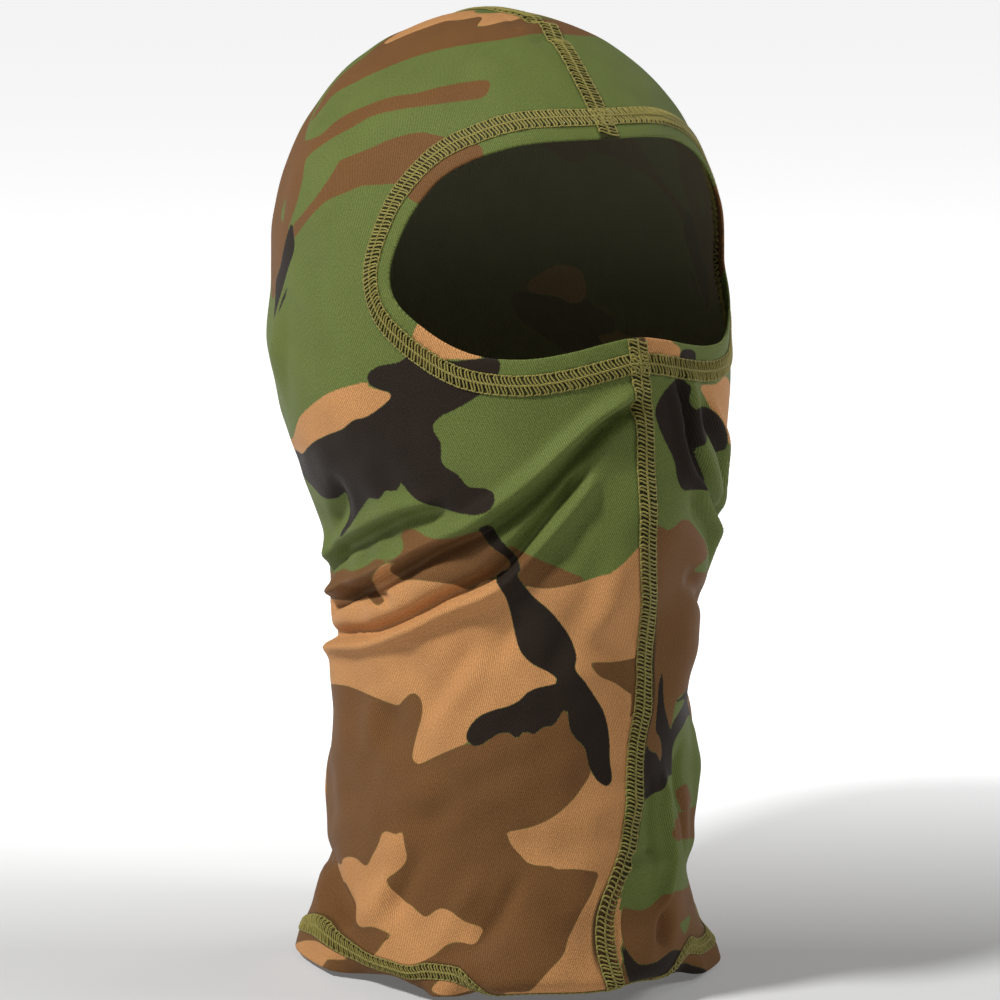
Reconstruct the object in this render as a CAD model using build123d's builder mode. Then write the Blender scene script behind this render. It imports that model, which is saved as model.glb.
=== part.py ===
from build123d import *
from math import cos, radians, sin
import os

# Camouflage stretch face mask (balaclava) in the shape it takes on a head: two knitted side panels
# joined on the middle line by a flat seam, a turned-in hem round the face and round the neck, and four
# runs of cover stitching. The stitching is made of needle threads (the lines), a cover thread (outside,
# between the lines) and a looper thread (inside).
# Frame: origin at the centre of the underside of the bounding box, +Z up, -Y out of the face,
# +X to the wearer's left. Millimetres.

# Driving dimensions.
# Level, half width, front depth and back depth of the worn form, from below the neck hem, which is cut
# off at level 0, up to the widest level of the head.
body_levels = (
    (-10, 74, 90, 78),
    (0, 71.5, 89, 75),
    (38, 62, 86, 67),
    (78, 60, 89, 67),
    (128, 58, 96, 67),
    (163, 63, 102, 71),
    (193, 74, 98, 84),
    (223, 76.5, 95, 95),
    (253, 75, 92, 102.5),
)
total_height = 340
crown_setback = 7  # how far the crown and the widest line of each section lie behind the axis
crown_steps = (15, 30, 45, 60, 72, 81, 86)  # degrees up the crown at which its sections are taken
axis_shift = -0.3  # puts the frame's axis in the middle of the finished mask's depth

fabric = 0.9
turned_hem = 2 * fabric
panel_gap = 0.1

# The face opening, drawn on a plane turned towards the wearer's right cheek: distance along the
# plane and height, from beyond the middle line at the top, round the cheek, and back below the nose.
cheek_turn = 38
opening_outline = (
    (76, 302),
    (43, 301),
    (3, 295),
    (-17, 272),
    (-25, 254),
    (-12, 237),
    (12, 229),
    (42, 231),
    (61, 235),
    (76, 236),
)
edge_leaves = (-1, 0)  # directions in which the outline leaves the middle line and comes back to it
edge_returns = (1, 0)
edge_points = 16

# Stitching. Distances across a hem are from its folded edge.
thread_clear = 0.05
thread_height = 0.55
needle_width = 0.6
stitch_gap = 0.1
seam_width = 6.6
face_stitch_start = 5.0
neck_stitch_start = 8.0
hem_stitch_width = 6.2
hem_turning = 3.0  # turned-in fabric beyond the last stitch line
crossing_clear = 0.4

reach = 300
middle_height = 270  # above this the middle line is crown, below it front and back
widest_level, widest_half, widest_front, widest_back = body_levels[-1]


def body_sections(grow):
    """Level, half width, front and back depth of each section of the worn form, grown by grow."""
    rows = [(level, half + grow, front + grow, back + grow) for level, half, front, back in body_levels]
    rise = total_height + grow - widest_level
    for step in crown_steps:
        shrink = cos(radians(step))
        half = (widest_half + grow) * shrink
        front = (widest_front + crown_setback + grow) * shrink - crown_setback
        back = (widest_back - crown_setback + grow) * shrink + crown_setback
        rows.append((widest_level + rise * sin(radians(step)), half, front, back))
    return rows


def head_form(grow):
    """The worn form as a solid that runs on below the neck hem. Each section is two half-ellipses."""
    centre = (0, crown_setback + axis_shift)
    with BuildPart() as form:
        for level, half, front, back in body_sections(grow):
            with BuildSketch(Plane.XY.offset(level)):
                with BuildLine():
                    EllipticalCenterArc(centre, half, front + crown_setback, 180, arc_size=180)
                    EllipticalCenterArc(centre, half, back - crown_setback, 0, arc_size=180)
                make_face()
        loft()
    return form.part


def layer(low, high):
    """The closed skin between two growths of the worn form, open at the neck."""
    with BuildPart() as skin:
        add(head_form(high))
        add(head_form(low), mode=Mode.SUBTRACT)
        add(below_neck, mode=Mode.SUBTRACT)
    return skin.part


def opening_edge(inset):
    """Points of the opening's outline, moved outwards by inset."""
    outline = Edge.make_spline(opening_outline, tangents=(edge_leaves, edge_returns))
    points = []
    for step in range(edge_points + 1):
        along = outline % (step / edge_points)
        points.append(outline @ (step / edge_points) + Vector(along.Y, -along.X) * inset)
    return points


def opening_wedge(inset):
    """What a face opening, made larger all round by inset, takes out of the form."""
    turn = radians(cheek_turn)
    cheek = Plane(origin=(0, 0, 0), x_dir=(cos(turn), -sin(turn), 0), z_dir=(-sin(turn), -cos(turn), 0))
    points = opening_edge(inset)
    with BuildPart() as wedge:
        with BuildSketch(cheek.offset(15)):
            with BuildLine():
                edge = Spline(*points, tangents=(edge_leaves, edge_returns))
                far_side = opening_outline[0][0] + 20
                Polyline(edge @ 1, (far_side, points[-1].Y), (far_side, points[0].Y), edge @ 0)
            make_face()
        extrude(amount=reach / 2)
        with Locations((-reach / 2, 0, total_height / 2)):
            Box(reach, reach * 2, total_height * 2, mode=Mode.INTERSECT)
        mirror(about=Plane.YZ)
    return wedge.part


def opening_band(start, width):
    """The zone between two distances from the edge of the face opening."""
    with BuildPart() as band:
        add(opening_wedge(start + width))
        add(opening_wedge(start), mode=Mode.SUBTRACT)
    return band.part


def slab(low, high):
    """The zone between two heights."""
    with BuildPart() as zone:
        with Locations((0, 0, (low + high) / 2)):
            Box(reach, reach, high - low)
    return zone.part


def middle_strip(start, width, front):
    """A strip along the middle line, in front below the opening, or over the crown and down the back."""
    centre = start + width / 2
    with BuildPart() as strip:
        with BuildSketch(Plane.XZ.offset(-reach / 2)):
            with Locations((centre, reach / 2)):
                Rectangle(width, reach * 2)
        extrude(amount=reach)
        with Locations((0, -reach / 2, middle_height - reach / 2)):
            Box(reach, reach, reach, mode=Mode.INTERSECT if front else Mode.SUBTRACT)
    return strip.part


def needle_starts(width):
    """Where the three needle lines of a run of stitching begin, across the run."""
    return (0, (width - needle_width) / 2, width - needle_width)


def cover_spans(width):
    """Where the two cover strips between the needle lines begin, and how wide they are."""
    span = (width - 3 * needle_width) / 2 - 2 * stitch_gap
    starts = (needle_width + stitch_gap, (width + needle_width) / 2 + stitch_gap)
    return [(start, span) for start in starts]


os.makedirs("parts", exist_ok=True)

# Layers that the threads and the fabric are cut from.
below_neck = slab(-40, 0)
outer_threads = layer(thread_clear, thread_clear + thread_height)
seam_loopers = layer(-fabric - thread_clear - thread_height, -fabric - thread_clear)
hem_loopers = layer(-turned_hem - thread_clear - thread_height, -turned_hem - thread_clear)

face_turning = face_stitch_start + hem_stitch_width + hem_turning
neck_turning = neck_stitch_start + hem_stitch_width + hem_turning
opening = opening_wedge(0)
face_hem_zone = opening_wedge(face_turning)
neck_hem_zone = slab(-40, neck_turning)
face_crossing = opening_band(face_stitch_start - crossing_clear, hem_stitch_width + 2 * crossing_clear)
neck_crossing = slab(
    neck_stitch_start - crossing_clear, neck_stitch_start + hem_stitch_width + crossing_clear
)

# Space inside the mask: one thickness of fabric, and two where the hems are turned in.
with BuildPart() as cavity:
    add(head_form(-fabric))
    add(face_hem_zone, mode=Mode.SUBTRACT)
    add(neck_hem_zone, mode=Mode.SUBTRACT)
    add(head_form(-turned_hem))

# Both side panels, each with its share of the turned-in hems.
with BuildPart() as right_panel:
    add(head_form(0))
    add(cavity.part, mode=Mode.SUBTRACT)
    add(opening, mode=Mode.SUBTRACT)
    add(below_neck, mode=Mode.SUBTRACT)
    with Locations((-(reach + panel_gap) / 2, 0, total_height / 2)):
        Box(reach, reach, total_height * 2, mode=Mode.INTERSECT)
right_panel.part.label = "right_panel"
export_step(right_panel.part, "parts/right_panel.step")

with BuildPart() as left_panel:
    add(right_panel.part)
    mirror(about=Plane.YZ, mode=Mode.REPLACE)
left_panel.part.label = "left_panel"
export_step(left_panel.part, "parts/left_panel.step")

# Face hem stitching.
with BuildPart() as face_hem_needle_threads:
    for start in needle_starts(hem_stitch_width):
        add(opening_band(face_stitch_start + start, needle_width))
    add(outer_threads, mode=Mode.INTERSECT)
face_hem_needle_threads.part.label = "face_hem_needle_threads"
export_step(face_hem_needle_threads.part, "parts/face_hem_needle_threads.step")

with BuildPart() as face_hem_cover_thread:
    for start, span in cover_spans(hem_stitch_width):
        add(opening_band(face_stitch_start + start, span))
    add(outer_threads, mode=Mode.INTERSECT)
face_hem_cover_thread.part.label = "face_hem_cover_thread"
export_step(face_hem_cover_thread.part, "parts/face_hem_cover_thread.step")

with BuildPart() as face_hem_looper_thread:
    add(opening_band(face_stitch_start, hem_stitch_width))
    add(hem_loopers, mode=Mode.INTERSECT)
face_hem_looper_thread.part.label = "face_hem_looper_thread"
export_step(face_hem_looper_thread.part, "parts/face_hem_looper_thread.step")

# Neck hem stitching.
with BuildPart() as neck_hem_needle_threads:
    for start in needle_starts(hem_stitch_width):
        low = neck_stitch_start + start
        add(slab(low, low + needle_width))
    add(outer_threads, mode=Mode.INTERSECT)
neck_hem_needle_threads.part.label = "neck_hem_needle_threads"
export_step(neck_hem_needle_threads.part, "parts/neck_hem_needle_threads.step")

with BuildPart() as neck_hem_cover_thread:
    for start, span in cover_spans(hem_stitch_width):
        low = neck_stitch_start + start
        add(slab(low, low + span))
    add(outer_threads, mode=Mode.INTERSECT)
neck_hem_cover_thread.part.label = "neck_hem_cover_thread"
export_step(neck_hem_cover_thread.part, "parts/neck_hem_cover_thread.step")

with BuildPart() as neck_hem_looper_thread:
    add(slab(neck_stitch_start, neck_stitch_start + hem_stitch_width))
    add(hem_loopers, mode=Mode.INTERSECT)
neck_hem_looper_thread.part.label = "neck_hem_looper_thread"
export_step(neck_hem_looper_thread.part, "parts/neck_hem_looper_thread.step")

# The two runs of the middle seam: down the front, and over the crown and down the back. Outside, they
# stop on both sides of the hem stitching that crosses them. Inside, they end at the turned-in hems.
for name, front in (("front_seam", True), ("crown_seam", False)):
    with BuildPart() as needle_threads:
        for start in needle_starts(seam_width):
            add(middle_strip(start - seam_width / 2, needle_width, front))
        add(outer_threads, mode=Mode.INTERSECT)
        add(opening, mode=Mode.SUBTRACT)
        add(face_crossing, mode=Mode.SUBTRACT)
        add(neck_crossing, mode=Mode.SUBTRACT)
    needle_threads.part.label = name + "_needle_threads"
    export_step(needle_threads.part, "parts/" + name + "_needle_threads.step")

    with BuildPart() as cover_thread:
        for start, span in cover_spans(seam_width):
            add(middle_strip(start - seam_width / 2, span, front))
        add(outer_threads, mode=Mode.INTERSECT)
        add(opening, mode=Mode.SUBTRACT)
        add(face_crossing, mode=Mode.SUBTRACT)
        add(neck_crossing, mode=Mode.SUBTRACT)
    cover_thread.part.label = name + "_cover_thread"
    export_step(cover_thread.part, "parts/" + name + "_cover_thread.step")

    with BuildPart() as looper_thread:
        add(middle_strip(-seam_width / 2, seam_width, front))
        add(seam_loopers, mode=Mode.INTERSECT)
        add(opening_wedge(face_turning + crossing_clear), mode=Mode.SUBTRACT)
        add(slab(-5, neck_turning + crossing_clear), mode=Mode.SUBTRACT)
    looper_thread.part.label = name + "_looper_thread"
    export_step(looper_thread.part, "parts/" + name + "_looper_thread.step")
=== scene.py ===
"""The look of the stretch face mask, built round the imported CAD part, in the part's own frame.

The cloth is one sheet. A place on it is an angle from the front seam, in degrees with the wearer's
left positive, and a run up the cloth from the neck edge, in mm. Above the brim the run goes on
over the crown to its pole. The folds, the print and the stitching are all laid out in these two.
"""
import math

import bpy
import numpy as np
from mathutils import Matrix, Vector


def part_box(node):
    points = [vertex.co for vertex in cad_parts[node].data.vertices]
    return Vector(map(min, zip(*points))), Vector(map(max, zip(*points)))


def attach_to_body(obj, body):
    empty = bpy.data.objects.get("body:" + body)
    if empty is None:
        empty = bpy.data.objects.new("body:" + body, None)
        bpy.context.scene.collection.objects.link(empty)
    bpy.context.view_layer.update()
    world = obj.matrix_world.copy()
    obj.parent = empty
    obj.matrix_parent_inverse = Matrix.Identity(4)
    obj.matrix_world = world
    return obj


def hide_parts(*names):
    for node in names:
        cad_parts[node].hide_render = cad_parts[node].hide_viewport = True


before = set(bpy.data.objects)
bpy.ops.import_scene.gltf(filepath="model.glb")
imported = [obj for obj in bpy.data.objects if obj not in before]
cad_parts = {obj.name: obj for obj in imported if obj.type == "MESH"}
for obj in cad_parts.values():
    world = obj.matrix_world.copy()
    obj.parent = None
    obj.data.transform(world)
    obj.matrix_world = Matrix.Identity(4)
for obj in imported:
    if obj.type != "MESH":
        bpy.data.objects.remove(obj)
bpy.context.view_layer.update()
rng = np.random.default_rng(11)

# ---- the form under the cloth, mm
BRIM, CROWN_RISE, SETBACK, AXIS = 253.0, 87.0, 7.0, 6.7
POLE = BRIM + CROWN_RISE * math.pi / 2
PER_DEGREE = 1.45  # mm of cloth to a degree, on average
SWAY_REACH = 25  # degrees beside the front seam that lean with it
HEM_EASE = 36  # mm above the neck hem over which its shift dies out
# level, half width, front depth, back depth
SECTIONS = (
    (-10, 74, 90, 78), (0, 71.5, 89, 75), (38, 62, 86, 67), (78, 60, 89, 67), (128, 58, 96, 67),
    (163, 63, 102, 71), (193, 74, 98, 84), (223, 76.5, 95, 95), (253, 75, 92, 102.5),
)


def curve(knots, values):
    """A smooth function through values at knots, flat outside them."""
    x, y = np.array(knots, float), np.array(values, float)
    h, n = np.diff(x), len(x)
    system, target = np.eye(n), np.zeros(n)
    for i in range(1, n - 1):
        system[i, i - 1:i + 2] = h[i - 1], 2 * (h[i - 1] + h[i]), h[i]
        target[i] = 6 * ((y[i + 1] - y[i]) / h[i] - (y[i] - y[i - 1]) / h[i - 1])
    bend = np.linalg.solve(system, target)

    def at(q):
        q = np.clip(q, x[0], x[-1])
        i = np.clip(np.searchsorted(x, q) - 1, 0, n - 2)
        s, t = x[i + 1] - q, q - x[i]
        cubic = (bend[i] * s**3 + bend[i + 1] * t**3) / (6 * h[i])
        return cubic + (y[i] / h[i] - bend[i] * h[i] / 6) * s + (y[i + 1] / h[i] - bend[i + 1] * h[i] / 6) * t

    return at


def smooth(t):
    t = np.clip(t, 0, 1)
    return t * t * (3 - 2 * t)


WIDTH, FRONT, BACK = (curve([s[0] for s in SECTIONS], [s[k] for s in SECTIONS]) for k in (1, 2, 3))


def form(angle, run):
    climb = np.clip((run - BRIM) / CROWN_RISE, 0, np.pi / 2)
    z = np.where(run > BRIM, BRIM + CROWN_RISE * np.sin(climb), run)
    low, shrink, turn = np.minimum(z, BRIM), np.cos(climb), np.radians(angle)
    s, c = np.sin(turn), np.cos(turn)
    depth = np.where(c > 0, FRONT(low) + SETBACK, BACK(low) - SETBACK)
    return np.stack([WIDTH(low) * shrink * s, AXIS - depth * shrink * c, z], -1)


def unit(v):
    return v / np.maximum(np.linalg.norm(v, axis=-1, keepdims=True), 1e-9)


def form_frame(angle, run):
    steady = np.minimum(run, POLE - 1.5)
    across = form(angle + 0.1, steady) - form(angle - 0.1, steady)
    along = unit(form(angle, steady + 0.1) - form(angle, steady - 0.1))
    return form(angle, run), unit(np.cross(across, along)), along


# ---- how the worn cloth lies
HEM, CURL = 14.0, 4.5  # neck hem's width, and the radius it curls under with at the front
FACE_LINE, NECK_LINE = 8.1, 11.1  # from the face edge and the neck edge to the middle of their stitching
SEAM_HALF, HEM_HALF = 3.9, 3.7  # half the width of a stitched strip
FACE_TURNING, NECK_TURNING = 12.4, 15.4  # from those edges to where the turned-in cloth ends
FACE_DENTS, NECK_DENTS = (4.9, 11.4), (7.8, 14.4)  # and to the outer needle lines
# by run, degrees that the front seam leans to the wearer's left
SWAY = curve((0, 8, 18, 30, 40, 50, 60, 90, 115, 140, 165, 200, 235, 315, 335, 350, 362, 374, 386, 400),
             (-0.4, 0, -2, -5, -5, -1, 2, 3, 4.5, 2.5, 0.5, 1.5, 0, 0, 0.4, 3.5, 9, 13, 0, 0))
# by angle: mm that the neck edge lies higher, mm that its hem is pushed up, and how far it curls under
EDGE = curve((-180, -150, -130, -118, -100, -88, -78, -66, -60, -55, -50, -40, -32, -20, 0, 8, 20, 30,
              40, 55, 90, 120, 150, 180),
             (1.5, 0, 1, 1, 1, 1.5, 3, 5.5, 4, 3.5, 5, 7, 8.5, 9, 9, 10, 7.5, 5, 2, 0, 1, 0.5, 0, 1.5))
BAND = curve((-180, -140, -118, -110, -100, -90, -80, -73, -67, -60, -55, -50, -45, -40, 18, 28, 34,
              40, 48, 70, 100, 180),
             (0, -1, -5, -2, 2, 3, 0, -1, -1, -1, 0, 0.5, 0, 1, -1, 1, 3, 0, -2, 0, 1, 0))
ROLL = curve((-180, -85, -75, -66, -58, -50, -43, -36, -10, 12, 20, 26, 32, 40, 180),
             (0, 0, 0.5, 0.62, 0.45, 0.15, 0.6, 1, 1, 1, 0.8, 0.5, 0.3, 0, 0))

# Folds. Each is a path over the cloth and what goes on beside it: mm to its right going along it,
# half width in mm, height in mm. A hollow is negative.
def ridge(height, width):
    return ((0, width, height),)


CREASE = ((0.9, 2.3, -6.4), (-3.3, 2.9, 4.8), (7.5, 5.0, 0.4))
LEDGE = ((-1.3, 2.3, -5.0), (3.0, 3.2, 4.2), (-8, 5.0, 0.8))
FOLDS = (
    (((-114, 128), (-95, 134), (-80, 143), (-70, 151), (-58, 161),
      (-44, 171), (-28, 186), (-17, 199), (-9, 208), (2, 216)),
     CREASE),
    (((-122, 113), (-100, 118), (-83, 123), (-68, 133),
      (-57, 143), (-43, 154), (-30, 171), (-21, 183), (-13, 194)),
     LEDGE),
    (((-112, 140), (-95, 149), (-78, 161), (-64, 171), (-50, 178)), ((0.4, 2.3, -3.4), (-3.6, 3.0, 3.0))),
    (((-97, 158), (-88, 165), (-84, 174), (-83, 183)), ridge(-3.2, 3.8)),
    (((-84, 136.5), (-78, 139), (-72, 139.5)), ridge(-3.2, 1.9)),
    (((-124, 144), (-112, 149), (-100, 152)), ridge(2.6, 4.0)),
    (((-126, 223), (-112, 222), (-96, 220)), ridge(5.0, 12.0)),
    (((-64, 96), (-56, 114), (-48, 132)), ridge(-1.8, 5.0)),
    (((-49, 114), (-43, 128), (-36, 144)), ridge(-1.8, 5.0)),
    (((-58, 96), (-50, 114), (-42, 132)), ridge(1.6, 5.0)),
    (((-30, 110), (-26, 128), (-20, 146), (-14, 166)), ridge(-1.4, 6.0)),
    (((-76, 82), (-74, 92), (-73, 104)), ridge(-1.4, 5.0)),
    (((-48, 74), (-56, 66), (-64, 58)), ridge(-1.6, 5.0)),
    (((-84, 76), (-80, 92), (-79, 112)), ridge(1.4, 6.0)),
    (((-18, 128), (-12, 146), (-9, 164)), ridge(1.2, 6.0)),
    # the wearer's left
    (((12, 224), (13.5, 219), (15.5, 209.5), (17.5, 197.5),
      (22.5, 188.5), (30.5, 179), (40, 171), (50, 163)),
     ((0, 2.5, -3.8), (-5.0, 3.8, 2.4), (4.0, 3.4, 2.0))),
    (((22, 212), (25, 206), (30, 198.5), (38, 188), (43, 176), (46, 168)),
     ((0, 2.6, -3.6), (-4.5, 3.5, 2.2))),
    (((17, 184), (22, 178), (29, 171), (37, 163), (42, 153), (44, 146)),
     ((0, 3.0, -2.6), (-6, 4.0, 2.0))),
    (((20, 152), (28, 149), (36, 143), (50, 136)), ridge(-3.0, 4.0)),
    (((17, 84), (20, 68), (22.5, 56), (22, 46), (18, 38), (13, 31)), ridge(3.2, 3.4)),
    (((26, 92), (29, 72), (33, 60), (36, 46)), ridge(-2.4, 3.2)),
    (((-1, 55), (10, 54), (21, 52)), ((0, 1.8, -2.2), (3.5, 2.6, 1.6))),
    (((9, 84), (12, 66), (14, 52), (12, 42)), ridge(-2.2, 3.6)),
    (((42, 100), (46, 70), (44, 40)), ridge(2.0, 5.0)),
    # puckers at the crown seam
    (((-16, 349), (0, 352), (18, 350)), ridge(-1.1, 2.4)),
    (((-20, 357), (0, 360), (22, 357)), ridge(1.3, 2.6)),
    (((-24, 366), (0, 368), (26, 365)), ridge(-1.0, 2.4)),
    # round the neck
    (((-138, 32), (-114, 31), (-103, 28), (-94, 25), (-87, 22), (-79, 20)),
     ((0, 5.2, -9.5), (-9, 8.0, -2.5))),
    (((-122, 40), (-110, 33), (-100, 31)), ridge(-3.4, 4.0)),
    (((14, 20), (17, 26), (20, 33)), ridge(-5.0, 4.4)),
    (((-70, 24), (-64, 40), (-60, 54)), ridge(-2.2, 4.0)),
    (((-80, 18), (-72, 30), (-69, 46)), ridge(2.4, 5.0)),
    (((-44, 18), (-36, 36), (-31, 52)), ridge(-1.9, 4.0)),
    (((-54, 18), (-48, 34), (-43, 50)), ridge(1.9, 5.0)),
    # the far side, as the near one
    (((62, 174), (80, 160), (100, 150), (118, 142)), ((0, 2.6, -3.6), (-5, 4.5, 3.4), (4.5, 4.0, 2.6))),
    (((58, 152), (76, 140), (98, 131), (122, 124)), ((0, 2.4, -3.6), (-4.5, 4.0, 3.4))),
    (((76, 134), (96, 126), (116, 120)), ridge(-2.6, 3.0)),
    (((140, 172), (158, 160), (174, 152)), ((0, 3.0, 2.6), (5, 3.6, -2.4))),
    (((-140, 170), (-158, 158), (-174, 150)), ((0, 3.0, 2.6), (-5, 3.6, -2.4))),
    (((-130, 138), (-152, 132), (-172, 130)), ridge(2.0, 4.0)),
    (((130, 140), (152, 134), (172, 130)), ridge(2.0, 4.0)),
)
# the neck edge flares: mm out, mm wide, mm high, where
FLARES = ((2.2, 14, 15, (-108, 4)), (4.0, 11, 14, (54, 4)), (2.0, 16, 14, (120, 4)))
# slack in the cloth: mm from crest to crest, mm high
SWELLS = ((58, 0.45), (46, 0.4), (37, 0.3), (30, 0.24), (24, 0.18), (19, 0.12), (15, 0.09), (12, 0.06))
WAVES = tuple((rng.normal(size=3), 2 * math.pi / length, rng.uniform(0, 6.3), height)
              for length, height in SWELLS for _ in range(3))

# Half of the face opening's edge: degrees from the middle, mm up the cloth
OPENING_HALF = (
    (0, 304), (15, 303.5), (28, 301.5), (40, 296.5), (48, 290), (54, 280), (58, 269), (60.5, 256),
    (59, 247), (54, 240), (46, 233), (38, 229.5), (28, 229), (18, 231), (8, 234), (0, 235.5),
)


def rounded(points, steps, closed=True):
    """A smooth line through the points, with so many steps from one to the next."""
    p = np.array(points, float)
    if closed:
        p = np.vstack([p[-1:], p, p[:2]])
    else:
        p = np.vstack([2 * p[0] - p[1], p, 2 * p[-1] - p[-2]])
    t = np.linspace(0, 1, steps, endpoint=False)[:, None]
    parts = []
    for a, b, c, d in zip(p[:-3], p[1:-2], p[2:-1], p[3:]):
        square, cube = (2 * a - 5 * b + 4 * c - d) * t**2, (3 * b - a - 3 * c + d) * t**3
        parts.append(0.5 * (2 * b + (c - a) * t + square + cube))
    return np.vstack(parts + ([] if closed else [p[-2][None]]))


OPENING_MIDDLE = 265.0  # a run inside the opening
OPENING = rounded(OPENING_HALF + tuple((-a, m) for a, m in OPENING_HALF[-2:0:-1]), 12)


def scale_across(angle, run):
    """mm of cloth to a degree, here."""
    return np.linalg.norm(form(angle + 0.5, run) - form(angle - 0.5, run), axis=-1)


def near_line(x, y, line, closed):
    """Distance to a line, how far along it, and its length.

    The distance is positive on the right of an open line and inside a closed one.
    """
    ends = np.vstack([line[1:], line[:1]]) if closed else line[1:]
    best, side, along = np.full(x.shape, 1e9), np.ones(x.shape), np.zeros(x.shape)
    inside, done = np.zeros(x.shape, bool), 0.0
    for (ax, ay), (bx, by) in zip(line, ends):
        dx, dy = bx - ax, by - ay
        size = math.hypot(dx, dy) + 1e-12
        rx, ry = x - ax, y - ay
        t = np.clip((rx * dx + ry * dy) / size**2, 0, 1)
        d = (rx - t * dx) ** 2 + (ry - t * dy) ** 2
        closer = d < best
        best = np.where(closer, d, best)
        if closed:
            inside ^= ((ay > y) != (by > y)) & (rx < ry * dx / (dy if abs(dy) > 1e-12 else 1e-12))
        else:
            side = np.where(closer, np.where(rx * dy - ry * dx > 0, 1, -1), side)
            along = np.where(closer, done + t * size, along)
        done += size
    if closed:
        side = np.where(inside, 1, -1)
    return np.sqrt(best) * side, along, done


FAR, BATCH = 60.0, 4000


def opening_distance(angle, run):
    """mm from the face edge, positive on the cloth, and the nearest place on the edge. Far away it is FAR."""
    out = np.full(angle.shape, FAR)
    qa, qm = np.zeros(angle.shape), np.zeros(angle.shape)
    close = (np.abs(angle) < 85) & (run > 205) & (run < 332)
    if close.any():
        a, m = angle[close], run[close]
        g = scale_across(a, m)
        # the distance is measured at this place's own scale across the cloth
        for first in range(0, len(a), BATCH):
            pick = slice(first, first + BATCH)
            aa, mm, gg = a[pick, None], m[pick, None], g[pick, None]
            start, end = OPENING, np.roll(OPENING, -1, 0)
            ax, ay, bx, by = start[:, 0] * gg, start[:, 1], end[:, 0] * gg, end[:, 1]
            dx, dy = bx - ax, by - ay
            t = np.clip(((aa * gg - ax) * dx + (mm - ay) * dy) / (dx**2 + dy**2), 0, 1)
            qx, qy = ax + t * dx, ay + t * dy
            d = np.hypot(aa * gg - qx, mm - qy)
            k = d.argmin(1)
            row = np.arange(len(k))
            crossing = ax + (mm - ay) * dx / np.where(np.abs(dy) > 1e-9, dy, 1e-9)
            inside = (((ay > mm) != (by > mm)) & (aa * gg < crossing)).sum(1) % 2 == 1
            index = np.flatnonzero(close.ravel())[pick]
            out.ravel()[index] = np.where(inside, -1, 1) * d[row, k]
            qa.ravel()[index] = qx[row, k] / gg[:, 0]
            qm.ravel()[index] = qy[row, k]
    return out, qa, qm


def seam_shift(run):
    """mm that the front seam lies to the wearer's left of the middle, here."""
    shrink = np.cos(np.clip((run - BRIM) / CROWN_RISE, 0, np.pi / 2))
    return np.radians(SWAY(run)) * SECTIONS[-1][1] * shrink


def from_seam(point, angle, run):
    """mm from the middle of the nearest centre seam."""
    return np.abs(point[..., 0] - np.where(np.abs(angle) < 90, seam_shift(run), 0))


def near_middle(angle, run):
    """Whether a place can be on a centre seam: by the front or back middle, or on the crown."""
    return (np.abs(angle) < 12) | (np.abs(angle) > 168) | (run > BRIM)


def dents(d, lines):
    """mm that the needle threads pull the cloth in along their lines."""
    return sum(0.14 * np.exp(-((d - line) / 0.7) ** 2) for line in lines)


def relief(angle, run):
    """mm that the worn cloth stands off the plain form."""
    base = form(angle, run)
    fade = smooth((POLE - 4 - run) / 40) * (0.25 + 0.75 * smooth((run - 2) / 10))
    calm = 0.35 + 0.65 * smooth((215 - run) / 60)  # the crown is pulled smooth
    height = sum(h * np.sin(k * (base @ (v / np.linalg.norm(v))) + p) for v, k, p, h in WAVES) * calm * fade
    x = angle * PER_DEGREE
    folds = np.zeros(height.shape)
    for path, beside in FOLDS:
        line = np.array(rounded(path, 4, closed=False)) * (PER_DEGREE, 1)
        reach = max(abs(offset) + 2.6 * width for offset, width, _ in beside)
        low, high = line.min(0) - reach, line.max(0) + reach
        here = (x > low[0]) & (x < high[0]) & (run > low[1]) & (run < high[1])
        if here.any():
            d, along, length = near_line(x[here], run[here], line, False)
            taper = smooth((np.minimum(along, length - along) + 2) / min(14, length / 2.2))
            for offset, width, amount in beside:
                folds[here] += amount * np.exp(-(((d - offset) / width) ** 2)) * taper
    # the folds are shallower round the back and lie flat over the neck hem
    height = height + folds * (0.5 + 0.5 * smooth((angle + 116) / 22)) * (0.2 + 0.8 * smooth((run - 13) / 9))
    for amount, wide, high, (a, m) in FLARES:
        aside, above = (x - a * PER_DEGREE) / wide, np.maximum(run - m, 0) / high
        height = height + amount * np.exp(-aside**2 - above**2)
    return height


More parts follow.
